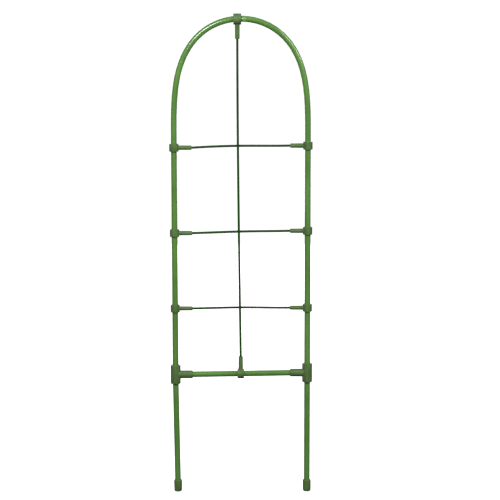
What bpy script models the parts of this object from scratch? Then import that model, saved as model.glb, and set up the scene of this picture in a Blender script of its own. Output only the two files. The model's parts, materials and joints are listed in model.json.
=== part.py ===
"""Metal trellis arch for climbing plants.

A plastic coated steel tube is bent to a hoop. Two moulded tees join its ends to a bottom bar and to two
stakes with foot caps. Three thin coated wires are rungs across the legs, and a fourth is the upright rod in
the middle. Each wire ends in two moulded clips, whose collars slide on the tubes.

Frame: origin on the ground midway between the hoop's legs, +X right, -Y to the front, +Z up, in metres.
"""

import math

import bmesh
import bpy
from mathutils import Matrix, Vector

MM = 0.001

# Tube: plastic coating on a steel tube
TUBE_R = 4.35 * MM
COATING_THICKNESS = 0.35 * MM
STEEL_R = 3.75 * MM
STEEL_BORE_R = 3.05 * MM

# Hoop: two straight legs, and above the spring line an arch with fuller shoulders than half an ellipse.
# A fullness of 2 is an ellipse. Crowding above 1 draws the arch's points towards its legs.
LEG_X = 96.4 * MM
SPRING_Z = 520 * MM
ARCH_RISE = 175.5 * MM
ARCH_FULLNESS = 3.4
ARCH_CROWDING = 1.3
ARCH_SEGMENTS = 40
APEX_Z = SPRING_Z + ARCH_RISE

# Wire of the rungs and of the centre rod: plastic coating on a steel core
WIRE_R = 1.7 * MM
WIRE_COATING_BORE_R = 1.25 * MM
WIRE_CORE_R = 1.0 * MM
RUNG_SEGMENTS = 10
ROD_SEGMENTS = 9

GAP = 0.3 * MM
BORE_R = TUBE_R + GAP
SOCKET_BORE_R = WIRE_R + GAP

# Tees, at the ends of the bottom bar. The right one is a little higher, so the bar slopes
LEFT_TEE_Z = 177.0 * MM
RIGHT_TEE_Z = 179.4 * MM
BAR_Z = (LEFT_TEE_Z + RIGHT_TEE_Z) / 2
TEE_SLEEVE_R = 7.35 * MM
TEE_SLEEVE_LENGTH = 28 * MM
TEE_BRANCH_R = 5.95 * MM
TEE_BRANCH_END = 25 * MM
TEE_BRANCH_STOP = 9 * MM
TEE_STOP_HALF = 3 * MM
TEE_CHAMFER = 1.0 * MM

# Foot caps
CAP_R = 6.0 * MM
CAP_HEIGHT = 17.5 * MM
CAP_FLOOR = 2.8 * MM
CAP_CHAMFER = 1.0 * MM

# Stakes: the left one leans inwards in its tee's clearance, by this much at its foot
LEFT_STAKE_LEAN = 2.4 * MM

# Clips: a collar round the tube with a socket for the wire, as
# (collar radius, collar length, collar bore radius, socket radius, socket length)
RUNG_CLIP = (6.85 * MM, 11.0 * MM, BORE_R, 3.3 * MM, 18.5 * MM)
TOP_CLIP = (7.9 * MM, 11.2 * MM, TUBE_R + 0.9 * MM, 3.6 * MM, 20.2 * MM)
BOTTOM_CLIP = (7.4 * MM, 9.6 * MM, TUBE_R + 0.5 * MM, 3.3 * MM, 18.4 * MM)
COLLAR_CHAMFER = 1.1 * MM
SOCKET_CHAMFER = 0.5 * MM
SOCKET_DEPTH = 12 * MM
SOCKET_ROOT = 0.6 * MM
WIRE_END_PLAY = 1 * MM

# Rungs: heights of the left and the right clip, and how far the wire bows up, most at a third of its length.
# The factor brings share * (1 - share) ** 2 to 1 there. Each wire also bows back, behind the centre rod.
RUNGS = {
    "upper_rung": (511.1 * MM, 513.9 * MM, 0.9 * MM),
    "middle_rung": (386.7 * MM, 389.9 * MM, 0.0 * MM),
    "lower_rung": (275.5 * MM, 276.4 * MM, 0.2 * MM),
}
RUNG_BOW_FACTOR = 27 / 4
RUNG_BOW_BACK = 4.0 * MM

# Centre rod: it stands a little left of the middle, and its top clip's loose collar hangs below the tube's axis
ROD_BOTTOM_X = -0.9 * MM
ROD_TOP_X = -4.8 * MM
TOP_CLIP_DROP = 0.5 * MM
TOP_CLIP_Z = APEX_Z - TOP_CLIP_DROP

TUBE_SIDES = 16
STEEL_SIDES = 12
WIRE_SIDES = 8
CORE_SIDES = 6
MOULDED_SIDES = 24
SOCKET_SIDES = 16
SHARP_ANGLE = math.radians(40)

# Principled BSDF values: colour (linear), metallic, roughness
FINISHES = {
    "green_coating": ((0.098, 0.235, 0.048, 1), 0.0, 0.38),
    "green_connector": ((0.060, 0.115, 0.036, 1), 0.0, 0.50),
    "green_wire_coating": ((0.045, 0.150, 0.020, 1), 0.0, 0.40),
    "zinc_steel": ((0.45, 0.46, 0.47, 1), 1.0, 0.35),
}

FRONT = Vector((0, -1, 0))


def clear_scene():
    for scene_object in list(bpy.data.objects):
        bpy.data.objects.remove(scene_object, do_unlink=True)


def make_materials():
    materials = {}
    for name, (colour, metallic, roughness) in FINISHES.items():
        material = bpy.data.materials.new(name)
        material.use_nodes = True
        shader = material.node_tree.nodes["Principled BSDF"]
        shader.inputs["Base Color"].default_value = colour
        shader.inputs["Metallic"].default_value = metallic
        shader.inputs["Roughness"].default_value = roughness
        materials[name] = material
    return materials


def shade(mesh):
    mesh.shade_smooth()
    mesh.set_sharp_from_angle(angle=SHARP_ANGLE)
    return mesh


def ring(builder, centre, across, along, sides):
    """Corners of a round section; across and along are its radius vectors."""
    corners = []
    for index in range(sides):
        angle = 2 * math.pi * index / sides
        corners.append(builder.verts.new(centre + across * math.cos(angle) + along * math.sin(angle)))
    return corners


def skin(name, builder, rings):
    """Cover consecutive rings with faces; a ring of one corner is a point on the axis."""
    for first, second in zip(rings, rings[1:]):
        sides = max(len(first), len(second))
        for index in range(sides):
            following = (index + 1) % sides
            corners = [first[index % len(first)], first[following % len(first)]]
            corners += [second[following % len(second)], second[index % len(second)]]
            builder.faces.new(list(dict.fromkeys(corners)))
    bmesh.ops.recalc_face_normals(builder, faces=builder.faces)
    mesh = bpy.data.meshes.new(name)
    builder.to_mesh(mesh)
    builder.free()
    return shade(mesh)


def path_sections(path):
    """Centre, sideways and frontward directions at each point, mitred so that the section keeps its width."""
    directions = [(after - before).normalized() for before, after in zip(path, path[1:])]
    sections = []
    for index, centre in enumerate(path):
        arriving = directions[max(index - 1, 0)]
        leaving = directions[min(index, len(directions) - 1)]
        tangent = (arriving + leaving).normalized()
        sideways = tangent.cross(FRONT).normalized()
        mitre = 1 / tangent.dot(leaving)
        sections.append((centre, sideways * mitre, sideways.cross(tangent)))
    return sections


def path_rings(builder, path, radius, sides):
    """A round section of this radius at each point of a path."""
    rings = []
    for centre, sideways, frontward in path_sections(path):
        rings.append(ring(builder, centre, sideways * radius, frontward * radius, sides))
    return rings


def swept_sleeve(name, path, outer_radius, bore_radius, sides):
    """Tube along a path, open at both ends."""
    builder = bmesh.new()
    outside = path_rings(builder, path, outer_radius, sides)
    inside = path_rings(builder, path, bore_radius, sides)
    return skin(name, builder, outside + inside[::-1] + outside[:1])


def swept_bar(name, path, radius, sides):
    """Solid round bar along a path."""
    builder = bmesh.new()
    rings = path_rings(builder, path, radius, sides)
    start = [builder.verts.new(path[0])]
    end = [builder.verts.new(path[-1])]
    return skin(name, builder, [start] + rings + [end])


def turned(name, profile, sides):
    """Body of revolution about Z. The profile lists (radius, height), and closes on itself off the axis."""
    builder = bmesh.new()
    rings = []
    for radius, height in profile:
        centre = Vector((0, 0, height))
        if radius == 0:
            rings.append([builder.verts.new(centre)])
        else:
            rings.append(ring(builder, centre, Vector((radius, 0, 0)), Vector((0, radius, 0)), sides))
    if profile[0][0] > 0:
        rings.append(rings[0])
    return skin(name, builder, rings)


def along_x(mesh):
    """Lay a body turned about Z along +X."""
    mesh.transform(Matrix.Rotation(math.pi / 2, 4, "Y"))
    return mesh


def combined(name, base, tool, operation):
    """Mesh of base after a Boolean with tool; the two meshes are used up."""
    base_object = bpy.data.objects.new(name + "_base", base)
    tool_object = bpy.data.objects.new(name + "_tool", tool)
    for scratch in (base_object, tool_object):
        bpy.context.scene.collection.objects.link(scratch)
    modifier = base_object.modifiers.new("combine", "BOOLEAN")
    modifier.operation = operation
    modifier.solver = "EXACT"
    modifier.object = tool_object
    evaluated = base_object.evaluated_get(bpy.context.evaluated_depsgraph_get())
    result = bpy.data.meshes.new_from_object(evaluated)
    result.name = name
    for scratch in (base_object, tool_object):
        bpy.data.objects.remove(scratch, do_unlink=True)
    for used in (base, tool):
        bpy.data.meshes.remove(used)
    return shade(result)


def clip_mesh(name, collar_radius, collar_length, collar_bore, socket_radius, socket_length):
    """Collar about Z, with a socket along +X whose mouth takes the wire's end."""
    half = collar_length / 2
    collar_profile = [
        (collar_bore, -half),
        (collar_radius - COLLAR_CHAMFER, -half),
        (collar_radius, -half + COLLAR_CHAMFER),
        (collar_radius, half - COLLAR_CHAMFER),
        (collar_radius - COLLAR_CHAMFER, half),
        (collar_bore, half),
    ]
    root = collar_bore + SOCKET_ROOT
    mouth = collar_radius + socket_length
    socket_profile = [
        (0, root),
        (socket_radius, root),
        (socket_radius, mouth - SOCKET_CHAMFER),
        (socket_radius - SOCKET_CHAMFER, mouth),
        (SOCKET_BORE_R, mouth),
        (SOCKET_BORE_R, mouth - SOCKET_DEPTH),
        (0, mouth - SOCKET_DEPTH),
    ]
    collar = turned(name + "_collar", collar_profile, MOULDED_SIDES)
    socket = along_x(turned(name + "_socket", socket_profile, SOCKET_SIDES))
    return combined(name, collar, socket, "UNION")


def cylinder_profile(radius, start, end):
    return [(0, start), (radius, start), (radius, end), (0, end)]


def chamfered_profile(radius, start, end, chamfer):
    return [
        (0, start),
        (radius - chamfer, start),
        (radius, start + chamfer),
        (radius, end - chamfer),
        (radius - chamfer, end),
        (0, end),
    ]


def tee_mesh(name):
    """Sleeve about Z and a branch along +X, with a blind bore from each of the three mouths."""
    half = TEE_SLEEVE_LENGTH / 2
    past = half + GAP
    sleeve = turned("sleeve", chamfered_profile(TEE_SLEEVE_R, -half, half, TEE_CHAMFER), MOULDED_SIDES)
    branch_profile = chamfered_profile(TEE_BRANCH_R, 0, TEE_BRANCH_END, TEE_CHAMFER / 2)
    branch = along_x(turned("branch", branch_profile, MOULDED_SIDES))
    body = combined("tee_body", sleeve, branch, "UNION")
    stake_bore = turned("stake_bore", cylinder_profile(BORE_R, -past, -TEE_STOP_HALF), MOULDED_SIDES)
    hoop_bore = turned("hoop_bore", cylinder_profile(BORE_R, TEE_STOP_HALF, past), MOULDED_SIDES)
    bar_profile = cylinder_profile(BORE_R, TEE_BRANCH_STOP, TEE_BRANCH_END + GAP)
    bar_bore = along_x(turned("bar_bore", bar_profile, MOULDED_SIDES))
    for bore in (stake_bore, hoop_bore, bar_bore):
        body = combined(name, body, bore, "DIFFERENCE")
    return body


def cap_mesh(name):
    """Cup that closes a stake's lower end, with its floor on the ground."""
    profile = [
        (0, 0),
        (CAP_R - CAP_CHAMFER, 0),
        (CAP_R, CAP_CHAMFER),
        (CAP_R, CAP_HEIGHT - CAP_CHAMFER / 2),
        (CAP_R - CAP_CHAMFER / 2, CAP_HEIGHT),
        (BORE_R, CAP_HEIGHT),
        (BORE_R, CAP_FLOOR),
        (0, CAP_FLOOR),
    ]
    return turned(name, profile, MOULDED_SIDES)


def place(name, mesh, material, location=(0, 0, 0), turn=None, parent=None):
    """Make the named object; turn is (angle in degrees, axis)."""
    part = bpy.data.objects.new(name, mesh)
    part.location = location
    if turn:
        angle, axis = turn
        part.rotation_euler = Matrix.Rotation(math.radians(angle), 3, axis).to_euler()
    part.parent = parent
    if not mesh.materials:
        mesh.materials.append(material)
    bpy.context.scene.collection.objects.link(part)
    return part


def slide_empty(name, location):
    """Empty that carries the pieces of a body that slides."""
    empty = bpy.data.objects.new(name, None)
    empty.location = location
    bpy.context.scene.collection.objects.link(empty)
    return empty


def coated_tube(name, path, materials):
    """Steel tube and its coating, both along the same path."""
    coating_bore = TUBE_R - COATING_THICKNESS
    steel = swept_sleeve(name + "_steel_tube", path, STEEL_R, STEEL_BORE_R, STEEL_SIDES)
    coating = swept_sleeve(name + "_plastic_coating", path, TUBE_R, coating_bore, TUBE_SIDES)
    place(name + "_steel_tube", steel, materials["zinc_steel"])
    place(name + "_plastic_coating", coating, materials["green_coating"])


def coated_wire(name, path, materials, parent):
    """Steel core and its coating; the path is in the parent's coordinates."""
    core = swept_bar(name + "_wire_core", path, WIRE_CORE_R, CORE_SIDES)
    coating = swept_sleeve(name + "_wire_coating", path, WIRE_R, WIRE_COATING_BORE_R, WIRE_SIDES)
    place(name + "_wire_core", core, materials["zinc_steel"], parent=parent)
    place(name + "_wire_coating", coating, materials["green_wire_coating"], parent=parent)


def arch_point(share):
    """Centre of the tube at a share of the way over the arch, which is half a superellipse."""
    side = -1 if share < 0.5 else 1
    nearness = 2 * min(share, 1 - share)
    angle = math.pi / 2 * nearness ** ARCH_CROWDING
    height = math.sin(angle) ** (2 / ARCH_FULLNESS)
    return Vector((side * LEG_X * math.cos(angle), 0, SPRING_Z + ARCH_RISE * height))


def hoop_path():
    """Left leg up, over the arch, right leg down."""
    past_stop = TEE_STOP_HALF + GAP
    path = [Vector((-LEG_X, 0, LEFT_TEE_Z + past_stop))]
    for index in range(ARCH_SEGMENTS + 1):
        path.append(arch_point(index / ARCH_SEGMENTS))
    path.append(Vector((LEG_X, 0, RIGHT_TEE_Z + past_stop)))
    return path


def bar_path():
    """Straight through the middles of the two branches' bores, from end to end."""
    grip_x = LEG_X - (TEE_BRANCH_STOP + TEE_BRANCH_END) / 2
    slope = (RIGHT_TEE_Z - LEFT_TEE_Z) / (2 * grip_x)
    end_x = LEG_X - TEE_BRANCH_STOP - GAP
    return [Vector((x, 0, BAR_Z + slope * x)) for x in (-end_x, end_x)]


def wire_end_in_socket(clip):
    """Distance from the tube's axis to the wire's end, and to the socket's mouth."""
    collar_radius, _, _, _, socket_length = clip
    mouth = collar_radius + socket_length
    return mouth - SOCKET_DEPTH + WIRE_END_PLAY, mouth


def rung_path(left_height, right_height, bow_up):
    """Wire between the rung's sockets: it rises from left to right, and bows up and back on the way."""
    end, mouth = wire_end_in_socket(RUNG_CLIP)
    free_half = LEG_X - mouth
    path = [Vector((end - LEG_X, 0, left_height))]
    for index in range(RUNG_SEGMENTS + 1):
        share = index / RUNG_SEGMENTS
        up = bow_up * RUNG_BOW_FACTOR * share * (1 - share) ** 2
        back = RUNG_BOW_BACK * math.sin(math.pi * share) ** 2
        height = left_height + (right_height - left_height) * share + up
        path.append(Vector((free_half * (2 * share - 1), back, height)))
    path.append(Vector((LEG_X - end, 0, right_height)))
    return path


def rod_path():
    """Upright wire from the bar's clip to the arch's clip, leaning over to the top clip in a quarter wave."""
    bottom_end, bottom_mouth = wire_end_in_socket(BOTTOM_CLIP)
    top_end, top_mouth = wire_end_in_socket(TOP_CLIP)
    low = BAR_Z + bottom_mouth
    high = TOP_CLIP_Z - top_mouth
    path = [Vector((ROD_BOTTOM_X, 0, BAR_Z + bottom_end))]
    for index in range(ROD_SEGMENTS + 1):
        share = index / ROD_SEGMENTS
        lean = (ROD_TOP_X - ROD_BOTTOM_X) * math.sin(math.pi / 2 * share)
        path.append(Vector((ROD_BOTTOM_X + lean, 0, low + (high - low) * share)))
    path.append(Vector((ROD_TOP_X, 0, TOP_CLIP_Z - top_end)))
    return path


def stake_path(tee_x, tee_z, foot_x):
    """Straight through the middles of the tee's bore and of the cap's bore, from end to end."""
    cap_grip = (CAP_FLOOR + CAP_HEIGHT) / 2
    tee_grip = tee_z - (TEE_STOP_HALF + TEE_SLEEVE_LENGTH / 2) / 2
    slope = (tee_x - foot_x) / (tee_grip - cap_grip)
    ends = (CAP_FLOOR + GAP, tee_z - TEE_STOP_HALF - GAP)
    return [Vector((foot_x + slope * (height - cap_grip), 0, height)) for height in ends]


def build_frame(materials):
    """Hoop, stakes, bottom bar, tees and foot caps: the pieces that stay still."""
    coated_tube("hoop", hoop_path(), materials)
    coated_tube("bottom_bar", bar_path(), materials)
    tee = tee_mesh("tee_connector")
    cap = cap_mesh("foot_cap")
    sides = (
        ("left", -LEG_X, LEFT_TEE_Z, LEFT_STAKE_LEAN - LEG_X, None),
        ("right", LEG_X, RIGHT_TEE_Z, LEG_X, (180, "Z")),
    )
    for side, tee_x, tee_z, foot_x, turn in sides:
        coated_tube(side + "_stake", stake_path(tee_x, tee_z, foot_x), materials)
        place(side + "_tee_connector", tee, materials["green_connector"], (tee_x, 0, tee_z), turn)
        place(side + "_foot_cap", cap, materials["green_connector"], (foot_x, 0, 0))


def build_rungs(materials):
    """Each rung slides up and down the hoop's legs as one body."""
    clip = clip_mesh("rung_clip", *RUNG_CLIP)
    for name, (left_height, right_height, bow_up) in RUNGS.items():
        middle = (left_height + right_height) / 2
        body = slide_empty(name, (0, 0, middle))
        left = (-LEG_X, 0, left_height - middle)
        right = (LEG_X, 0, right_height - middle)
        place(name + "_left_clip", clip, materials["green_connector"], left, parent=body)
        place(name + "_right_clip", clip, materials["green_connector"], right, (180, "Z"), body)
        path = rung_path(left_height - middle, right_height - middle, bow_up)
        coated_wire(name, path, materials, body)


def build_centre_rod(materials):
    """The rod slides sideways as one body: its top clip on the arch, its bottom clip on the bar."""
    body = slide_empty("centre_rod", (0, 0, 0))
    top = clip_mesh("top_clip", *TOP_CLIP)
    bottom = clip_mesh("bottom_clip", *BOTTOM_CLIP)
    connector = materials["green_connector"]
    place("centre_rod_top_clip", top, connector, (ROD_TOP_X, 0, TOP_CLIP_Z), (90, "Y"), body)
    place("centre_rod_bottom_clip", bottom, connector, (ROD_BOTTOM_X, 0, BAR_Z), (-90, "Y"), body)
    coated_wire("centre_rod", rod_path(), materials, body)


clear_scene()
finishes = make_materials()
build_frame(finishes)
build_rungs(finishes)
build_centre_rod(finishes)
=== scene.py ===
"""Looks of the metal trellis arch: fine meshes, finishes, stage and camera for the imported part."""

import bisect
import json
import math

import bmesh
import bpy
from mathutils import Matrix, Vector

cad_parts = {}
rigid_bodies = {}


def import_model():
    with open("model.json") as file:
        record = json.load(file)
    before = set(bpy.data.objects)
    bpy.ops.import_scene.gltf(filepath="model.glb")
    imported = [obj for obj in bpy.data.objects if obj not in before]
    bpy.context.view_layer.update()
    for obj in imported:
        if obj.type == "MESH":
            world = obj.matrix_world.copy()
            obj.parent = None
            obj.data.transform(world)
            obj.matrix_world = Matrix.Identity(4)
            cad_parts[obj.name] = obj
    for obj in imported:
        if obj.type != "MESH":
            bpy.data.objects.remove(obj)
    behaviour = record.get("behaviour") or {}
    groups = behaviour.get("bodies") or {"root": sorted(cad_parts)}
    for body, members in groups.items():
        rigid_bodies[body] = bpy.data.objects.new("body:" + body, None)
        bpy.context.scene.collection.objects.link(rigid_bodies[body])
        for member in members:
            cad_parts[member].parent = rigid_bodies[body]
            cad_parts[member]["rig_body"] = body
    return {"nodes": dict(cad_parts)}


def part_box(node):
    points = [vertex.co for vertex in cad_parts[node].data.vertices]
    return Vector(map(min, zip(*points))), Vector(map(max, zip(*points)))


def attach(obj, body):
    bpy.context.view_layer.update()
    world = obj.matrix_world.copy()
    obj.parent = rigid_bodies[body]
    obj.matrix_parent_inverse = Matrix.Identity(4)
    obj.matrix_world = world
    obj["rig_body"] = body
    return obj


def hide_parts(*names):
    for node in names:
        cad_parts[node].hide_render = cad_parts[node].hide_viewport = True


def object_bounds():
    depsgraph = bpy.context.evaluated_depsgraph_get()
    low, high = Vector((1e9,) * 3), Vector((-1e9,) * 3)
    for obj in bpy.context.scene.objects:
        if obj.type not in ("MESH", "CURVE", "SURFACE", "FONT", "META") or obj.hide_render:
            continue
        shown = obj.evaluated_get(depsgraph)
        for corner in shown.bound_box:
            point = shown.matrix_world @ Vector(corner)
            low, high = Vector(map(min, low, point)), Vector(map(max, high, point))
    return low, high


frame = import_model()
cad_low, cad_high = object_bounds()

MM = 0.001
FRONT = Vector((0, -1, 0))
RIGHT = Vector((1, 0, 0))
UP = Vector((0, 0, 1))

# Tubes: sides of a section, coat, spacing of the sections, and the arch, which is half a superellipse
# whose points crowd together towards the legs
TUBE_SIDES = 64
COATING_THICKNESS = 0.35 * MM
STRAIGHT_STEP = 6.0 * MM
ARCH_STEP = 2.0 * MM
MARK_STEP = 0.35 * MM
TANGENT_REACH = 0.5 * MM
ARCH_RISE = 175.5 * MM
ARCH_FULLNESS = 3.4
ARCH_CROWDING = 1.3
ARCH_POINTS = 800

# Small raised marks on the tubes, no higher than the collars' clearance, in millimetres and degrees, as
# (tube, x, z, turn from the front, half length, half width, height, ring). The turn is towards the arch's
# inside on the hoop, and downwards on the bar.
MARKS = [
    ("hoop", 5.1, 695.9, 4, 2.7, 2.6, 0.26, True),
    ("hoop", -84.6, 633.3, 4, 0.7, 2.6, 0.24, False),
    ("hoop", -75.3, 652.9, -3, 0.8, 1.1, 0.26, False),
    ("hoop", 35.5, 688.6, 10, 0.9, 1.2, 0.26, False),
    ("hoop", 43.6, 684.4, 11, 0.9, 1.2, 0.22, False),
    ("hoop", 66.7, 665.0, 12, 0.8, 1.0, 0.24, False),
    ("hoop", 80.3, 643.6, 9, 0.8, 1.0, 0.20, False),
    ("hoop", 96.0, 498.8, 0, 0.8, 3.0, 0.16, False),
    ("hoop", -96.0, 502.0, 6, 0.8, 2.6, 0.16, False),
    ("bottom_bar", -68.0, 178.0, -14, 0.9, 0.9, 0.26, False),
    ("bottom_bar", -63.0, 178.0, -14, 1.3, 1.0, 0.24, False),
]
# A mark this high gets the full painted highlight; lower marks get a share of it
FULL_MARK_HEIGHT = 0.26 * MM

# A ring-shaped mark, in shares of its half length and width: radius, width of its rim, and its spread
RING_RADIUS = 0.75
RING_RIM = 0.3
RING_SPREAD = 1.9

# Wires, and how far each rung's wire bows up, most at a third of its length
WIRE_SIDES = 24
WIRE_STEP = 2.5 * MM
WIRE_POINTS = 64
WIRE_RADIUS = 1.7 * MM
WIRE_COATING_THICKNESS = 0.45 * MM
BOW_UP = {"upper_rung": 0.9 * MM, "middle_rung": 0.0 * MM, "lower_rung": 0.2 * MM}
BOW_FACTOR = 27 / 4

# Moulded pieces: sides, the flare where a branch leaves its sleeve, the parting line, and the bores
MOULDED_SIDES = 96
BRANCH_SIDES = 72
CORNER_STEPS = 5
FLARE_STEPS = 7
FLARE_WALK_STEPS = 40
FLARE_ROOT_DEPTH = 0.5 * MM
FLARE_LIFT = 0.012 * MM
PARTING_HEIGHT = 0.10 * MM
PARTING_HALF_WIDTH = 0.28 * MM
PARTING_FADE = 1.0 * MM
BORE_EDGE = 0.25 * MM
SHARP_ANGLE = math.radians(32)
CLEARANCE = 0.3 * MM

# Clips: a collar round the tube and a socket for the wire
COLLAR_ROUNDING = 0.55 * MM
TOP_COLLAR_PLAY = 0.6 * MM
BOTTOM_COLLAR_PLAY = 0.2 * MM
SOCKET_RADIUS = 3.25 * MM
TOP_SOCKET_RADIUS = 3.35 * MM
SOCKET_TAPER = 0.15 * MM
SOCKET_DEPTH = 12 * MM
SOCKET_FLARE = 0.5 * MM
SOCKET_START = 1.0 * MM
SOCKET_ROUNDING = 0.4 * MM

# Tees: an upright sleeve and a branch for the bottom bar
TEE_STOP_HALF = 3 * MM
TEE_UPPER_ROUNDING = 0.35 * MM
TEE_LOWER_ROUNDING = 1.4 * MM
TEE_BRANCH_RADIUS = 5.9 * MM
TEE_BRANCH_TAPER = 0.1 * MM
TEE_BRANCH_STOP = 9 * MM
TEE_BRANCH_ROUNDINGS = {"left": 0.35 * MM, "right": 0.75 * MM}
TEE_FLARE = 1.0 * MM
TEE_BRANCH_START = 1.5 * MM

# Foot caps
CAP_FLOOR = 2.8 * MM
CAP_TAPER = 0.35 * MM
CAP_FOOT_ROUNDING = 1.6 * MM
CAP_RIM_ROUNDING = 0.8 * MM
CAP_DIMPLE_RADIUS = 1.4 * MM
CAP_DIMPLE_DEPTH = 0.3 * MM

# Colours, linear: darker and lighter patches of each finish, the tints that multiply them, and the pale
# colour painted on the raised marks as a highlight
COATING_DARK = (0.088, 0.228, 0.040)
COATING_LIGHT = (0.124, 0.288, 0.057)
WIRE_DARK = (0.006, 0.046, 0.001)
WIRE_LIGHT = (0.014, 0.076, 0.003)
CONNECTOR_DARK = (0.072, 0.134, 0.040)
CONNECTOR_LIGHT = (0.110, 0.190, 0.063)
DRAWN_TINT = (0.80, 0.84, 0.78)
CLOUDY_TINT = (0.88, 0.92, 0.86)
# Painted highlight: the pale colour that the raised marks take on, standing in for their glints
MARK_HIGHLIGHT_COLOUR = (0.24, 0.44, 0.15)
STEEL_DARK = (0.33, 0.34, 0.35)
STEEL_LIGHT = (0.52, 0.53, 0.54)
SPANGLE_TINT = (0.82, 0.84, 0.86)
FLOOR_DARK = (0.78, 0.78, 0.78)
FLOOR_LIGHT = (0.82, 0.82, 0.82)
WHITE = (1.0, 1.0, 1.0)

# Sheen: specular levels, the coatings' clear gloss, and the least and most roughness of each finish
COATING_SPECULAR = 0.25
CONNECTOR_SPECULAR = 0.26
STEEL_SPECULAR = 0.5
FLOOR_SPECULAR = 0.2
TUBE_GLOSS = 1.0
WIRE_GLOSS = 0.1
GLOSS_ROUGHNESS = 0.15
TUBE_ROUGHNESS = (0.30, 0.42)
WIRE_ROUGHNESS = (0.38, 0.50)
CONNECTOR_ROUGHNESS = (0.38, 0.52)
STEEL_ROUGHNESS = (0.28, 0.45)
FLOOR_ROUGHNESS = 0.8

# Where a Mix node keeps its factor, two colours and result when it mixes colours
MIX_COLOUR_INPUTS = (0, 6, 7)
MIX_COLOUR_OUTPUT = 2

# Softboxes as (name, azimuth, elevation, roll, width, height, power), in degrees, metres and watts
SOFTBOXES = [
    ("left_key", -25, 32, 38, 0.75, 0.50, 41),
    ("right_key", 54, 32, -57, 1.15, 0.45, 28),
    ("back_softbox", 180, 8, 0, 2.0, 1.2, 26),
]
SOFTBOX_DISTANCE = 2.2

# Glow of the surroundings: it fades from the first strength to the second between two depths, where -1 is
# straight to the front and 1 straight to the back
WORLD_FRONT = 0.10
WORLD_BACK = 0.08
FRONT_DEPTH = -1.0
BACK_DEPTH = 0.2

# Floor, a white backdrop that glows by itself
FLOOR_GLOW = 1.0
FLOOR_HALF = 60.0

# Camera: it aims at a point right of the middle, from slightly above
CAMERA_ELEVATION = 9.5
CAMERA_DISTANCE = 2.85
CAMERA_TARGET = Vector((0.0129, 0, 0.3617))
CAMERA_ROLL = -0.08
CAMERA_LENS = 141.4
CAMERA_SENSOR = 36.0


# ---- Outlines and meshes ----

def rounded_outline(corners):
    """Points of an open outline of (across, along, rounding radius), with each corner rounded."""
    spots = [Vector((across, along)) for across, along, _ in corners]
    outline = [spots[0]]
    for before, corner, after, (_, _, radius) in zip(spots, spots[1:], spots[2:], corners[1:]):
        if radius == 0:
            outline.append(corner)
            continue
        back = (before - corner).normalized()
        ahead = (after - corner).normalized()
        half_angle = back.angle(ahead) / 2
        centre = corner + (back + ahead).normalized() * (radius / math.sin(half_angle))
        tangent = radius / math.tan(half_angle)
        start = corner + back * tangent - centre
        end = corner + ahead * tangent - centre
        sweep = start.angle(end)
        for step in range(CORNER_STEPS + 1):
            share = step / CORNER_STEPS
            first = math.sin((1 - share) * sweep) / math.sin(sweep)
            second = math.sin(share * sweep) / math.sin(sweep)
            outline.append(centre + start * first + end * second)
    outline.append(spots[-1])
    return outline


def shade(mesh):
    """Smooth shading, with the sharp edges kept."""
    mesh.shade_smooth()
    mesh.set_sharp_from_angle(angle=SHARP_ANGLE)
    return mesh


def skin(name, rings):
    """Closed mesh over consecutive rings of points; a ring of one point is a point on the axis."""
    builder = bmesh.new()
    corners = []
    for ring in rings:
        corners.append([builder.verts.new(point) for point in ring])
    for first, second in zip(corners, corners[1:]):
        sides = max(len(first), len(second))
        for index in range(sides):
            following = (index + 1) % sides
            face = [first[index % len(first)], first[following % len(first)]]
            face += [second[following % len(second)], second[index % len(second)]]
            builder.faces.new(list(dict.fromkeys(face)))
    if len(rings[0]) > 1:
        join_ends(builder, corners[-1], corners[0])
    bmesh.ops.recalc_face_normals(builder, faces=builder.faces)
    if builder.calc_volume(signed=True) < 0:
        bmesh.ops.reverse_faces(builder, faces=builder.faces)
    mesh = bpy.data.meshes.new(name)
    builder.to_mesh(mesh)
    builder.free()
    return shade(mesh)


def join_ends(builder, last, first):
    """Faces from the last ring back to the first."""
    for index in range(len(first)):
        following = (index + 1) % len(first)
        builder.faces.new((last[index], last[following], first[following], first[index]))


def parting_angles(sides, radius):
    """Angles round a section, closer together at 0 and at half a turn, where the mould's halves meet."""
    half_width = PARTING_HALF_WIDTH / radius
    angles = {2 * math.pi * index / sides for index in range(sides)}
    for line in (0, math.pi):
        for share in (-1, -0.5, 0.5, 1):
            angles.add((line + share * half_width) % (2 * math.pi))
    return sorted(angles)


def parting_ridge(angle, radius):
    """Height of the parting line's ridge at an angle round a section, as a share."""
    off_line = abs(math.sin(angle)) * radius
    return max(0, 1 - off_line / PARTING_HALF_WIDTH)


def ridged(across, angle, outer_radius):
    """Radius at an angle, with the parting ridge on the outside and fading over the ends."""
    fade = min(1, max(0, (across - outer_radius + PARTING_FADE) / PARTING_FADE))
    return across + PARTING_HEIGHT * fade * parting_ridge(angle, across)


def lathe_rings(outline, sides):
    """Rings about Z of an outline of (across, along)."""
    outer_radius = max(across for across, _ in outline)
    angles = parting_angles(sides, outer_radius)
    rings = []
    for across, along in outline:
        if across == 0:
            rings.append([Vector((0, 0, along))])
            continue
        ring = []
        for angle in angles:
            radius = ridged(across, angle, outer_radius)
            ring.append(Vector((radius * math.cos(angle), radius * math.sin(angle), along)))
        rings.append(ring)
    return rings


def flare_end(host_radius, branch_radius, angle, flare):
    """Where a flare of this size ends on the host: its distances from and along the branch's axis."""
    step = flare / FLARE_WALK_STEPS
    across = branch_radius
    along = math.sqrt(host_radius ** 2 - (across * math.sin(angle)) ** 2)
    travelled = 0
    while travelled < flare:
        next_across = across + step
        next_along = math.sqrt(host_radius ** 2 - (next_across * math.sin(angle)) ** 2)
        travelled += math.hypot(step, next_along - along)
        across = next_across
        along = next_along
    return Vector((across, along))


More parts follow.
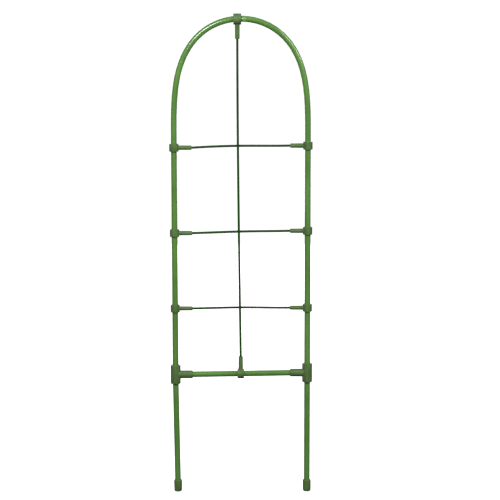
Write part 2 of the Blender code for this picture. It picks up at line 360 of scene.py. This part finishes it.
def branch_rings(host_radius, branch_radius, flare, outline):
    """Rings of a branch along +X out of a round host about Z: a flare on the host, then the outline."""
    angles = parting_angles(BRANCH_SIDES, branch_radius)
    spokes = []
    for angle in angles:
        meeting = math.sqrt(host_radius ** 2 - (branch_radius * math.sin(angle)) ** 2)
        corner = Vector((branch_radius, meeting))
        end = flare_end(host_radius, branch_radius, angle, flare)
        normal = Vector((end.x * math.sin(angle), end.y)) / host_radius
        outward = Vector((normal.x * math.sin(angle), normal.y))
        start = corner + Vector((0, flare))
        spoke = [end - outward * FLARE_ROOT_DEPTH, end + outward * FLARE_LIFT]
        for step in range(1, FLARE_STEPS + 1):
            share = step / FLARE_STEPS
            spoke.append(end * (1 - share) ** 2 + corner * 2 * share * (1 - share) + start * share ** 2)
        spokes.append(spoke)
    root = host_radius - 2 * FLARE_ROOT_DEPTH
    rings = [[Vector((root, 0, 0))]]
    for index in range(len(spokes[0])):
        rings.append([around_x(spoke[index], angle) for spoke, angle in zip(spokes, angles)])
    for across, along in outline:
        if across == 0:
            rings.append([Vector((along, 0, 0))])
            continue
        ring = []
        for angle in angles:
            radius = ridged(across, angle, branch_radius)
            ring.append(around_x((radius, along), angle))
        rings.append(ring)
    return rings


def around_x(spot, angle):
    """Point at (across, along) on the spoke at this angle round the X axis."""
    across, along = spot
    return Vector((along, across * math.sin(angle), across * math.cos(angle)))


def joined(name, base, tool):
    """One mesh of two closed meshes."""
    base_object = bpy.data.objects.new(name + "_base", base)
    tool_object = bpy.data.objects.new(name + "_tool", tool)
    for scratch in (base_object, tool_object):
        bpy.context.scene.collection.objects.link(scratch)
    modifier = base_object.modifiers.new("join", "BOOLEAN")
    modifier.operation = "UNION"
    modifier.solver = "EXACT"
    modifier.object = tool_object
    evaluated = base_object.evaluated_get(bpy.context.evaluated_depsgraph_get())
    result = bpy.data.meshes.new_from_object(evaluated)
    result.name = name
    for scratch in (base_object, tool_object):
        bpy.data.objects.remove(scratch, do_unlink=True)
    for used in (base, tool):
        bpy.data.meshes.remove(used)
    return shade(result)


# ---- Routes and sweeps ----

class Route:
    """A centre line that can be read at any distance along it."""

    def __init__(self, points):
        self.points = points
        self.distances = [0.0]
        for before, after in zip(points, points[1:]):
            self.distances.append(self.distances[-1] + (after - before).length)
        self.length = self.distances[-1]

    def point(self, distance):
        index = bisect.bisect_right(self.distances, distance) - 1
        index = min(max(index, 0), len(self.points) - 2)
        span = self.distances[index + 1] - self.distances[index]
        share = (distance - self.distances[index]) / span
        return self.points[index].lerp(self.points[index + 1], share)

    def section(self, distance):
        """Centre, and the directions sideways and to the front, of the section at a distance."""
        behind = self.point(max(distance - TANGENT_REACH, 0))
        ahead = self.point(min(distance + TANGENT_REACH, self.length))
        tangent = (ahead - behind).normalized()
        sideways = tangent.cross(FRONT).normalized()
        return self.point(distance), sideways, sideways.cross(tangent)

    def nearest(self, spot):
        """Distance along the route of its point nearest to a spot."""
        index = min(range(len(self.points)), key=lambda number: (self.points[number] - spot).length)
        return self.distances[index]


def spaced(stops, step):
    """Distances from the first to the last stop, through each stop, no further apart than the step."""
    distances = []
    for start, end in zip(stops, stops[1:]):
        count = max(1, math.ceil((end - start) / step))
        for index in range(count):
            distances.append(start + (end - start) * index / count)
    distances.append(stops[-1])
    return distances


def relief(marks, distance, angle, radius):
    """Height of the raised marks at a place on a tube's skin."""
    height = 0
    for place, turn, along, across, peak, is_ring in marks:
        off_angle = math.remainder(angle - turn, 2 * math.pi)
        reach = math.hypot((distance - place) / along, off_angle * radius / across)
        if is_ring:
            height += peak * math.exp(-((reach - RING_RADIUS) / RING_RIM) ** 2)
        elif reach < 1:
            height += peak * math.cos(math.pi / 2 * reach) ** 2
    return height


def sweep(name, route, distances, outer_radius, thickness, sides, marks=()):
    """Closed sleeve along a route, with raised marks.

    Each point's "straight" attribute is its place on the tube before bending, and its mark attribute
    is its height as a share of a full mark, which sets how much painted highlight the mark gets.
    """
    turns = [2 * math.pi * index / sides for index in range(sides)]
    rings = []
    straight = []
    mark_highlight_share = []
    for distance in distances:
        centre, sideways, front = route.section(distance)
        ring = []
        for turn in turns:
            height = relief(marks, distance, turn, outer_radius)
            radius = outer_radius + height
            ring.append(centre + (sideways * math.cos(turn) + front * math.sin(turn)) * radius)
            straight.append((outer_radius * math.cos(turn), outer_radius * math.sin(turn), distance))
            mark_highlight_share.append(height / FULL_MARK_HEIGHT)
        rings.append(ring)
    bore_radius = outer_radius - thickness
    for distance in reversed(distances):
        centre, sideways, front = route.section(distance)
        ring = []
        for turn in turns:
            ring.append(centre + (sideways * math.cos(turn) + front * math.sin(turn)) * bore_radius)
            straight.append((bore_radius * math.cos(turn), bore_radius * math.sin(turn), distance))
            mark_highlight_share.append(0.0)
        rings.append(ring)
    mesh = skin(name, rings)
    flat = [value for spot in straight for value in spot]
    mesh.attributes.new("straight", "FLOAT_VECTOR", "POINT").data.foreach_set("vector", flat)
    mesh.attributes.new("mark_highlight_share", "FLOAT", "POINT").data.foreach_set("value", mark_highlight_share)
    return mesh


# ---- Places from the frame ----

def tube_radius(node):
    low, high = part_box(node)
    return (high.y - low.y) / 2


def hoop_route():
    """Left leg up, over the arch, which is half a superellipse, and right leg down."""
    low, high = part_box("hoop_plastic_coating")
    radius = tube_radius("hoop_plastic_coating")
    leg_x = high.x - radius
    spring_z = high.z - radius - ARCH_RISE
    points = [Vector((-leg_x, 0, low.z))]
    for index in range(ARCH_POINTS + 1):
        share = index / ARCH_POINTS
        side = -1 if share < 0.5 else 1
        angle = math.pi / 2 * (2 * min(share, 1 - share)) ** ARCH_CROWDING
        height = ARCH_RISE * math.sin(angle) ** (2 / ARCH_FULLNESS)
        points.append(Vector((side * leg_x * math.cos(angle), 0, spring_z + height)))
    left, right = tee_places()
    points.append(Vector((leg_x, 0, low.z + right["centre"].z - left["centre"].z)))
    return Route(points)


def stake_route(node):
    """Straight from the foot up to the tee. Only the left stake leans, with its foot nearer the middle."""
    low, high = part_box(node)
    radius = tube_radius(node)
    inner_x = high.x - radius
    outer_x = low.x + radius
    return Route([Vector((inner_x, 0, low.z)), Vector((outer_x, 0, high.z))])


def bar_route():
    """Straight through the middles of the tees' branches."""
    low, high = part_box("bottom_bar_plastic_coating")
    left, right = tee_places()
    grip_x = right["centre"].x - (TEE_BRANCH_STOP + right["reach"]) / 2
    slope = (right["centre"].z - left["centre"].z) / (2 * grip_x)
    middle = (left["centre"].z + right["centre"].z) / 2
    return Route([Vector((x, 0, middle + slope * x)) for x in (low.x, high.x)])


def clip_place(node, toward):
    """Centre and sizes, from its node's box, of a sleeve whose branch points toward a direction."""
    low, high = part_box(node)
    size = high - low
    radius = size.y / 2
    span = abs(size.dot(toward))
    return {
        "centre": (low + high) / 2 - toward * (span / 2 - radius),
        "radius": radius,
        "length": size.x + size.z - span,
        "reach": span - radius,
    }


def tee_places():
    return clip_place("left_tee_connector", RIGHT), clip_place("right_tee_connector", -RIGHT)


def rung_route(rung):
    """Wire between a rung's clips: it rises from left to right, and bows up and back on the way."""
    left = clip_place(rung + "_left_clip", RIGHT)
    right = clip_place(rung + "_right_clip", -RIGHT)
    low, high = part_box(rung + "_wire_coating")
    bow_back = high.y + low.y
    left_mouth = left["centre"].x + left["reach"]
    right_mouth = right["centre"].x - right["reach"]
    points = [Vector((low.x, 0, left["centre"].z))]
    for index in range(WIRE_POINTS + 1):
        share = index / WIRE_POINTS
        up = BOW_UP[rung] * BOW_FACTOR * share * (1 - share) ** 2
        back = bow_back * math.sin(math.pi * share) ** 2
        height = left["centre"].z + (right["centre"].z - left["centre"].z) * share + up
        points.append(Vector((left_mouth + (right_mouth - left_mouth) * share, back, height)))
    points.append(Vector((high.x, 0, right["centre"].z)))
    return Route(points)


def rod_route():
    """Upright wire, which leans over to the top clip in a quarter wave."""
    top = clip_place("centre_rod_top_clip", -UP)
    bottom = clip_place("centre_rod_bottom_clip", UP)
    low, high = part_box("centre_rod_wire_coating")
    low_mouth = bottom["centre"].z + bottom["reach"]
    high_mouth = top["centre"].z - top["reach"]
    points = [Vector((bottom["centre"].x, 0, low.z))]
    for index in range(WIRE_POINTS + 1):
        share = index / WIRE_POINTS
        lean = (top["centre"].x - bottom["centre"].x) * math.sin(math.pi / 2 * share)
        points.append(Vector((bottom["centre"].x + lean, 0, low_mouth + (high_mouth - low_mouth) * share)))
    points.append(Vector((top["centre"].x, 0, high.z)))
    return Route(points)


# ---- Pieces ----

def piece(name, mesh, material, node, matrix=Matrix.Identity(4)):
    """Show a mesh in place of a CAD node, riding on the node's body."""
    mesh.transform(matrix)
    mesh.materials.append(material)
    made = bpy.data.objects.new(name, mesh)
    bpy.context.scene.collection.objects.link(made)
    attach(made, frame["nodes"][node]["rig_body"])
    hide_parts(node)
    return made


def placed(centre, turn_degrees, axis):
    """Matrix that turns a piece about an axis and moves it to its centre."""
    return Matrix.Translation(centre) @ Matrix.Rotation(math.radians(turn_degrees), 4, axis)


def tube_marks(tube, route):
    """The tube's raised marks, by distance along the route and angle round it."""
    marks = []
    for owner, x, z, turn, along, across, height, is_ring in MARKS:
        if owner == tube:
            place = route.nearest(Vector((x * MM, 0, z * MM)))
            marks.append((place, math.radians(90 - turn), along * MM, across * MM, height * MM, is_ring))
    return marks


def tube_sections(route, marks, step):
    """Distances of a tube's sections, close together along each raised mark."""
    fine = []
    for place, _, along, _, _, is_ring in marks:
        reach = along * (RING_SPREAD if is_ring else 1)
        fine += spaced([place - reach, place + reach], MARK_STEP)
    coarse = spaced([0, route.length], step)
    clear = [far for far in coarse if all(abs(far - near) > MARK_STEP for near in fine)]
    return sorted(set(fine + clear))


def make_tube(tube, route, step, material):
    node = tube + "_plastic_coating"
    marks = tube_marks(tube, route)
    sections = tube_sections(route, marks, step)
    radius = tube_radius(node)
    mesh = sweep(tube + "_coating", route, sections, radius, COATING_THICKNESS, TUBE_SIDES, marks)
    return piece(tube + "_coating", mesh, material, node)


def make_tubes(material):
    make_tube("hoop", hoop_route(), ARCH_STEP, material)
    make_tube("bottom_bar", bar_route(), STRAIGHT_STEP, material)
    for stake in ("left_stake", "right_stake"):
        make_tube(stake, stake_route(stake + "_plastic_coating"), STRAIGHT_STEP, material)


def make_wire(body, route, material):
    """A coated wire. It bows back only, so its front lies at its radius."""
    node = body + "_wire_coating"
    low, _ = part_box(node)
    sections = spaced([0, route.length], WIRE_STEP)
    mesh = sweep(body + "_wire", route, sections, -low.y, WIRE_COATING_THICKNESS, WIRE_SIDES)
    return piece(body + "_wire", mesh, material, node)


def make_wires(material):
    for rung in BOW_UP:
        make_wire(rung, rung_route(rung), material)
    make_wire("centre_rod", rod_route(), material)


def clip_mesh(name, place, bore_radius, socket_radius):
    """Collar about Z whose rims are rounded, with a tapered socket along +X that flares out of it."""
    radius = place["radius"] - PARTING_HEIGHT
    half = place["length"] / 2
    collar_outline = rounded_outline([
        (bore_radius, 0, 0),
        (bore_radius, -half, BORE_EDGE),
        (radius, -half, COLLAR_ROUNDING),
        (radius, half, COLLAR_ROUNDING),
        (bore_radius, half, BORE_EDGE),
        (bore_radius, half / 2, 0),
    ])
    reach = place["reach"]
    socket_bore = WIRE_RADIUS + CLEARANCE
    socket_outline = rounded_outline([
        (socket_radius, radius + SOCKET_START, 0),
        (socket_radius - SOCKET_TAPER, reach, SOCKET_ROUNDING),
        (socket_bore, reach, BORE_EDGE),
        (socket_bore, reach - SOCKET_DEPTH, 0),
        (0, reach - SOCKET_DEPTH, 0),
    ])
    collar = skin(name + "_collar", lathe_rings(collar_outline, MOULDED_SIDES))
    socket = skin(name + "_socket", branch_rings(radius, socket_radius, SOCKET_FLARE, socket_outline))
    return joined(name, collar, socket)


def make_clips(material):
    tube_bore = tube_radius("bottom_bar_plastic_coating") + CLEARANCE
    top_bore = tube_bore + TOP_COLLAR_PLAY
    bottom_bore = tube_bore + BOTTOM_COLLAR_PLAY
    clips = []
    for rung in BOW_UP:
        clips.append((rung + "_left_clip", RIGHT, 0, "Z", tube_bore, SOCKET_RADIUS))
        clips.append((rung + "_right_clip", -RIGHT, 180, "Z", tube_bore, SOCKET_RADIUS))
    clips.append(("centre_rod_top_clip", -UP, 90, "Y", top_bore, TOP_SOCKET_RADIUS))
    clips.append(("centre_rod_bottom_clip", UP, -90, "Y", bottom_bore, SOCKET_RADIUS))
    for node, toward, turn, axis, bore_radius, socket_radius in clips:
        place = clip_place(node, toward)
        mesh = clip_mesh(node + "_moulding", place, bore_radius, socket_radius)
        piece(node + "_moulding", mesh, material, node, placed(place["centre"], turn, axis))


def tee_mesh(name, place, bore_radius, branch_rounding):
    """Sleeve about Z and a branch along +X, with a blind bore from each of the three mouths."""
    radius = place["radius"] - PARTING_HEIGHT
    half = place["length"] / 2
    reach = place["reach"]
    sleeve_outline = rounded_outline([
        (0, -TEE_STOP_HALF, 0),
        (bore_radius, -TEE_STOP_HALF, 0),
        (bore_radius, -half, BORE_EDGE),
        (radius, -half, TEE_LOWER_ROUNDING),
        (radius, half, TEE_UPPER_ROUNDING),
        (bore_radius, half, BORE_EDGE),
        (bore_radius, TEE_STOP_HALF, 0),
        (0, TEE_STOP_HALF, 0),
    ])
    branch_outline = rounded_outline([
        (TEE_BRANCH_RADIUS, radius + TEE_BRANCH_START, 0),
        (TEE_BRANCH_RADIUS - TEE_BRANCH_TAPER, reach, branch_rounding),
        (bore_radius, reach, BORE_EDGE),
        (bore_radius, TEE_BRANCH_STOP, 0),
        (0, TEE_BRANCH_STOP, 0),
    ])
    sleeve = skin(name + "_sleeve", lathe_rings(sleeve_outline, MOULDED_SIDES))
    branch = skin(name + "_branch", branch_rings(radius, TEE_BRANCH_RADIUS, TEE_FLARE, branch_outline))
    return joined(name, sleeve, branch)


def make_tees(material):
    bore_radius = tube_radius("bottom_bar_plastic_coating") + CLEARANCE
    for side, toward, turn in (("left", RIGHT, 0), ("right", -RIGHT, 180)):
        node = side + "_tee_connector"
        place = clip_place(node, toward)
        mesh = tee_mesh(node + "_moulding", place, bore_radius, TEE_BRANCH_ROUNDINGS[side])
        piece(node + "_moulding", mesh, material, node, placed(place["centre"], turn, "Z"))


def make_caps(material):
    """Foot caps: cups with a rounded foot, a slight taper and a rounded rim."""
    bore_radius = tube_radius("bottom_bar_plastic_coating") + CLEARANCE
    for side in ("left", "right"):
        node = side + "_foot_cap"
        low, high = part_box(node)
        radius = (high.x - low.x) / 2 - PARTING_HEIGHT
        height = high.z - low.z
        outline = rounded_outline([
            (0, CAP_DIMPLE_DEPTH, 0),
            (CAP_DIMPLE_RADIUS, CAP_DIMPLE_DEPTH, 0),
            (CAP_DIMPLE_RADIUS + CAP_DIMPLE_DEPTH, 0, 0),
            (radius - CAP_TAPER, 0, CAP_FOOT_ROUNDING),
            (radius, height / 2, CAP_FOOT_ROUNDING),
            (radius, height, CAP_RIM_ROUNDING),
            (bore_radius, height, BORE_EDGE),
            (bore_radius, CAP_FLOOR, 0),
            (0, CAP_FLOOR, 0),
        ])
        mesh = skin(node + "_moulding", lathe_rings(outline, MOULDED_SIDES))
        place = Matrix.Translation(((low.x + high.x) / 2, 0, low.z))
        piece(node + "_moulding", mesh, material, node, place)


# ---- Finishes ----

def feed(tree, socket, value):
    """Link an input to another node's output, or set its value."""
    if isinstance(value, bpy.types.NodeSocket):
        tree.links.new(value, socket)
    else:
        socket.default_value = value


def shader_node(tree, kind, **inputs):
    """New node, with values or sockets for its inputs; an underscore in a name stands for a space."""
    made = tree.nodes.new(kind)
    for name, value in inputs.items():
        feed(tree, made.inputs[name.replace("_", " ")], value)
    return made


def new_material(name, metallic, specular):
    material = bpy.data.materials.new(name)
    material.use_nodes = True
    shader = material.node_tree.nodes["Principled BSDF"]
    shader.inputs["Metallic"].default_value = metallic
    shader.inputs["Specular IOR Level"].default_value = specular
    return material, material.node_tree, shader


def tube_coordinates(tree):
    """Place on the tube before bending: across its section, and along it."""
    place = tree.nodes.new("ShaderNodeAttribute")
    place.attribute_name = "straight"
    return place.outputs["Vector"]


def object_coordinates(tree):
    return tree.nodes.new("ShaderNodeTexCoord").outputs["Object"]


def stretched(tree, place, scale):
    return shader_node(tree, "ShaderNodeMapping", Vector=place, Scale=scale).outputs["Vector"]


def noise(tree, place, scale, detail, roughness=0.5):
    texture = shader_node(
        tree, "ShaderNodeTexNoise", Vector=place, Scale=scale, Detail=detail, Roughness=roughness
    )
    return texture.outputs["Fac"]


def ramp(tree, factor, dark, light, low, high):
    """Colours from the dark one at a low factor to the light one at a high factor."""
    made = shader_node(tree, "ShaderNodeValToRGB", Fac=factor)
    for element, position, colour in zip(made.color_ramp.elements, (low, high), (dark, light)):
        element.position = position
        element.color = (*colour, 1)
    return made.outputs["Color"]


def remapped(tree, value, low, high, from_low=0.3, from_high=0.7):
    """Value moved from one range to another, which goes from low to high."""
    ends = {"From_Min": from_low, "From_Max": from_high, "To_Min": low, "To_Max": high}
    return shader_node(tree, "ShaderNodeMapRange", Value=value, **ends).outputs["Result"]


def mixed(tree, blend_type, factor, first, second):
    """Two colours mixed by a factor."""
    made = tree.nodes.new("ShaderNodeMix")
    made.data_type = "RGBA"
    made.blend_type = blend_type
    for index, value in zip(MIX_COLOUR_INPUTS, (factor, first, second)):
        feed(tree, made.inputs[index], value)
    return made.outputs[MIX_COLOUR_OUTPUT]


def bump(tree, height, strength, distance, before=None):
    """Normal of a relief, on top of an earlier one if there is any."""
    made = shader_node(tree, "ShaderNodeBump", Height=height, Strength=strength, Distance=distance)
    if before:
        tree.links.new(before, made.inputs["Normal"])
    return made.outputs["Normal"]


def coating_material(name, dark, light, gloss, roughness):
    """Extruded plastic: soft patches, lines drawn along the tube, a fine orange peel, and a painted
    highlight that makes the raised marks paler.
    """
    material, tree, shader = new_material(name, metallic=0.0, specular=COATING_SPECULAR)
    shader.inputs["Coat Weight"].default_value = gloss
    shader.inputs["Coat Roughness"].default_value = GLOSS_ROUGHNESS
    place = tube_coordinates(tree)
    patches = noise(tree, stretched(tree, place, (1, 1, 0.35)), scale=55, detail=3)
    lines = noise(tree, stretched(tree, place, (1, 1, 0.012)), scale=1500, detail=2)
    peel = noise(tree, place, scale=1400, detail=2)
    base = ramp(tree, patches, dark, light, low=0.32, high=0.68)
    streak = ramp(tree, lines, DRAWN_TINT, WHITE, low=0.30, high=0.70)
    streaked = mixed(tree, "MULTIPLY", 1.0, base, streak)
    # Painted highlight: each raised mark is mixed towards a pale colour by its height, standing in for the
    # glint on it
    mark_highlight_share = tree.nodes.new("ShaderNodeAttribute")
    mark_highlight_share.attribute_name = "mark_highlight_share"
    mark_highlighted = mixed(tree, "MIX", mark_highlight_share.outputs["Fac"], streaked, (*MARK_HIGHLIGHT_COLOUR, 1))
    tree.links.new(mark_highlighted, shader.inputs["Base Color"])
    tree.links.new(remapped(tree, patches, *roughness), shader.inputs["Roughness"])
    drawn = bump(tree, lines, strength=0.25, distance=0.03 * MM)
    peeled = bump(tree, peel, strength=0.20, distance=0.02 * MM, before=drawn)
    tree.links.new(peeled, shader.inputs["Normal"])
    return material


def connector_material():
    """Moulded plastic: matt skin with a fine grain, faint flow marks and cloudy places."""
    material, tree, shader = new_material("moulded_green", metallic=0.0, specular=CONNECTOR_SPECULAR)
    place = object_coordinates(tree)
    flow = noise(tree, stretched(tree, place, (1, 1, 0.5)), scale=180, detail=4, roughness=0.6)
    cloud = noise(tree, place, scale=45, detail=2)
    grain = noise(tree, place, scale=3200, detail=2)
    base = ramp(tree, flow, CONNECTOR_DARK, CONNECTOR_LIGHT, low=0.30, high=0.70)
    tint = ramp(tree, cloud, CLOUDY_TINT, WHITE, low=0.35, high=0.65)
    tree.links.new(mixed(tree, "MULTIPLY", 1.0, base, tint), shader.inputs["Base Color"])
    tree.links.new(remapped(tree, flow, *CONNECTOR_ROUGHNESS), shader.inputs["Roughness"])
    uneven = bump(tree, flow, strength=0.25, distance=0.10 * MM)
    grained = bump(tree, grain, strength=0.40, distance=0.02 * MM, before=uneven)
    tree.links.new(grained, shader.inputs["Normal"])
    return material


def steel_material():
    """Zinc plated steel: faint crystal patches and dull spots."""
    material, tree, shader = new_material("zinc_plate", metallic=1.0, specular=STEEL_SPECULAR)
    place = object_coordinates(tree)
    crystals = shader_node(tree, "ShaderNodeTexVoronoi", Vector=place, Scale=420.0)
    dull = noise(tree, place, scale=160, detail=3)
    base = ramp(tree, dull, STEEL_DARK, STEEL_LIGHT, low=0.35, high=0.65)
    spangle = ramp(tree, crystals.outputs["Distance"], WHITE, SPANGLE_TINT, low=0.0, high=1.0)
    tree.links.new(mixed(tree, "MULTIPLY", 1.0, base, spangle), shader.inputs["Base Color"])
    tree.links.new(remapped(tree, dull, *STEEL_ROUGHNESS), shader.inputs["Roughness"])
    tree.links.new(bump(tree, dull, strength=0.2, distance=0.02 * MM), shader.inputs["Normal"])
    return material


def finish_steel(material):
    """The steel inside the coatings stays as the CAD nodes have it, in its own finish."""
    for name, node in frame["nodes"].items():
        if name.endswith(("_steel_tube", "_wire_core")):
            for slot in node.material_slots:
                slot.material = material


# ---- Stage, light and camera ----

def floor_material():
    material, tree, shader = new_material("pale_floor", metallic=0.0, specular=FLOOR_SPECULAR)
    tone = noise(tree, object_coordinates(tree), scale=3, detail=2)
    base = ramp(tree, tone, FLOOR_DARK, FLOOR_LIGHT, low=0.3, high=0.7)
    tree.links.new(base, shader.inputs["Base Color"])
    shader.inputs["Roughness"].default_value = FLOOR_ROUGHNESS
    shader.inputs["Emission Color"].default_value = (1, 1, 1, 1)
    shader.inputs["Emission Strength"].default_value = FLOOR_GLOW
    return material


def make_floor():
    """Wide flat floor that only the camera sees: it lights nothing and shows in no reflection."""
    builder = bmesh.new()
    bmesh.ops.create_grid(builder, x_segments=8, y_segments=8, size=FLOOR_HALF)
    mesh = bpy.data.meshes.new("floor")
    builder.to_mesh(mesh)
    builder.free()
    mesh.materials.append(floor_material())
    floor = bpy.data.objects.new("floor", mesh)
    bpy.context.scene.collection.objects.link(floor)
    floor.visible_diffuse = False
    floor.visible_glossy = False


def make_softbox(name, azimuth, elevation, roll, width, height, power):
    """Area light that faces the object's middle; azimuth 0 is the front and 90 the right."""
    target = (cad_low + cad_high) / 2
    turn = math.radians(azimuth)
    lift = math.radians(elevation)
    toward = Vector((math.sin(turn) * math.cos(lift), -math.cos(turn) * math.cos(lift), math.sin(lift)))
    light = bpy.data.lights.new(name, "AREA")
    light.shape = "RECTANGLE"
    light.size = width
    light.size_y = height
    light.energy = power
    lamp = bpy.data.objects.new(name, light)
    lamp.location = target + toward * SOFTBOX_DISTANCE
    aim = (-toward).to_track_quat("-Z", "Y").to_matrix()
    lamp.rotation_euler = (aim @ Matrix.Rotation(math.radians(roll), 3, "Z")).to_euler()
    bpy.context.scene.collection.objects.link(lamp)


def make_lights():
    """Softboxes, and surroundings that the camera sees as white and that light the object only faintly."""
    for softbox in SOFTBOXES:
        make_softbox(*softbox)
    world = bpy.data.worlds.new("studio")
    bpy.context.scene.world = world
    world.use_nodes = True
    tree = world.node_tree
    background = tree.nodes["Background"]
    background.inputs["Color"].default_value = (1, 1, 1, 1)
    direction = tree.nodes.new("ShaderNodeTexCoord").outputs["Generated"]
    depth = shader_node(tree, "ShaderNodeSeparateXYZ", Vector=direction).outputs["Y"]
    glow = remapped(tree, depth, WORLD_FRONT, WORLD_BACK, FRONT_DEPTH, BACK_DEPTH)
    tree.links.new(glow, background.inputs["Strength"])
    seen = shader_node(tree, "ShaderNodeBackground", Color=(1, 1, 1, 1), Strength=1.0)
    path = tree.nodes.new("ShaderNodeLightPath")
    chosen = tree.nodes.new("ShaderNodeMixShader")
    tree.links.new(path.outputs["Is Camera Ray"], chosen.inputs["Fac"])
    tree.links.new(background.outputs["Background"], chosen.inputs[1])
    tree.links.new(seen.outputs["Background"], chosen.inputs[2])
    tree.links.new(chosen.outputs["Shader"], tree.nodes["World Output"].inputs["Surface"])


def make_camera():
    lift = math.radians(CAMERA_ELEVATION)
    back = Vector((0, -math.cos(lift), math.sin(lift)))
    data = bpy.data.cameras.new("camera")
    data.lens = CAMERA_LENS
    data.sensor_width = CAMERA_SENSOR
    data.clip_end = 4 * FLOOR_HALF
    camera = bpy.data.objects.new("camera", data)
    camera.location = CAMERA_TARGET + back * CAMERA_DISTANCE
    aim = (-back).to_track_quat("-Z", "Y").to_matrix()
    roll = Matrix.Rotation(math.radians(CAMERA_ROLL), 3, "Z")
    camera.rotation_euler = (aim @ roll).to_euler()
    bpy.context.scene.collection.objects.link(camera)
    bpy.context.scene.camera = camera


# ---- The scene ----

make_camera()
extruded_green = coating_material("extruded_green", COATING_DARK, COATING_LIGHT, TUBE_GLOSS, TUBE_ROUGHNESS)
wire_green = coating_material("wire_green", WIRE_DARK, WIRE_LIGHT, WIRE_GLOSS, WIRE_ROUGHNESS)
moulded_green = connector_material()
finish_steel(steel_material())
make_tubes(extruded_green)
make_wires(wire_green)
make_clips(moulded_green)
make_tees(moulded_green)
make_caps(moulded_green)
make_lights()
make_floor()
bpy.context.scene.view_settings.view_transform = "Standard"
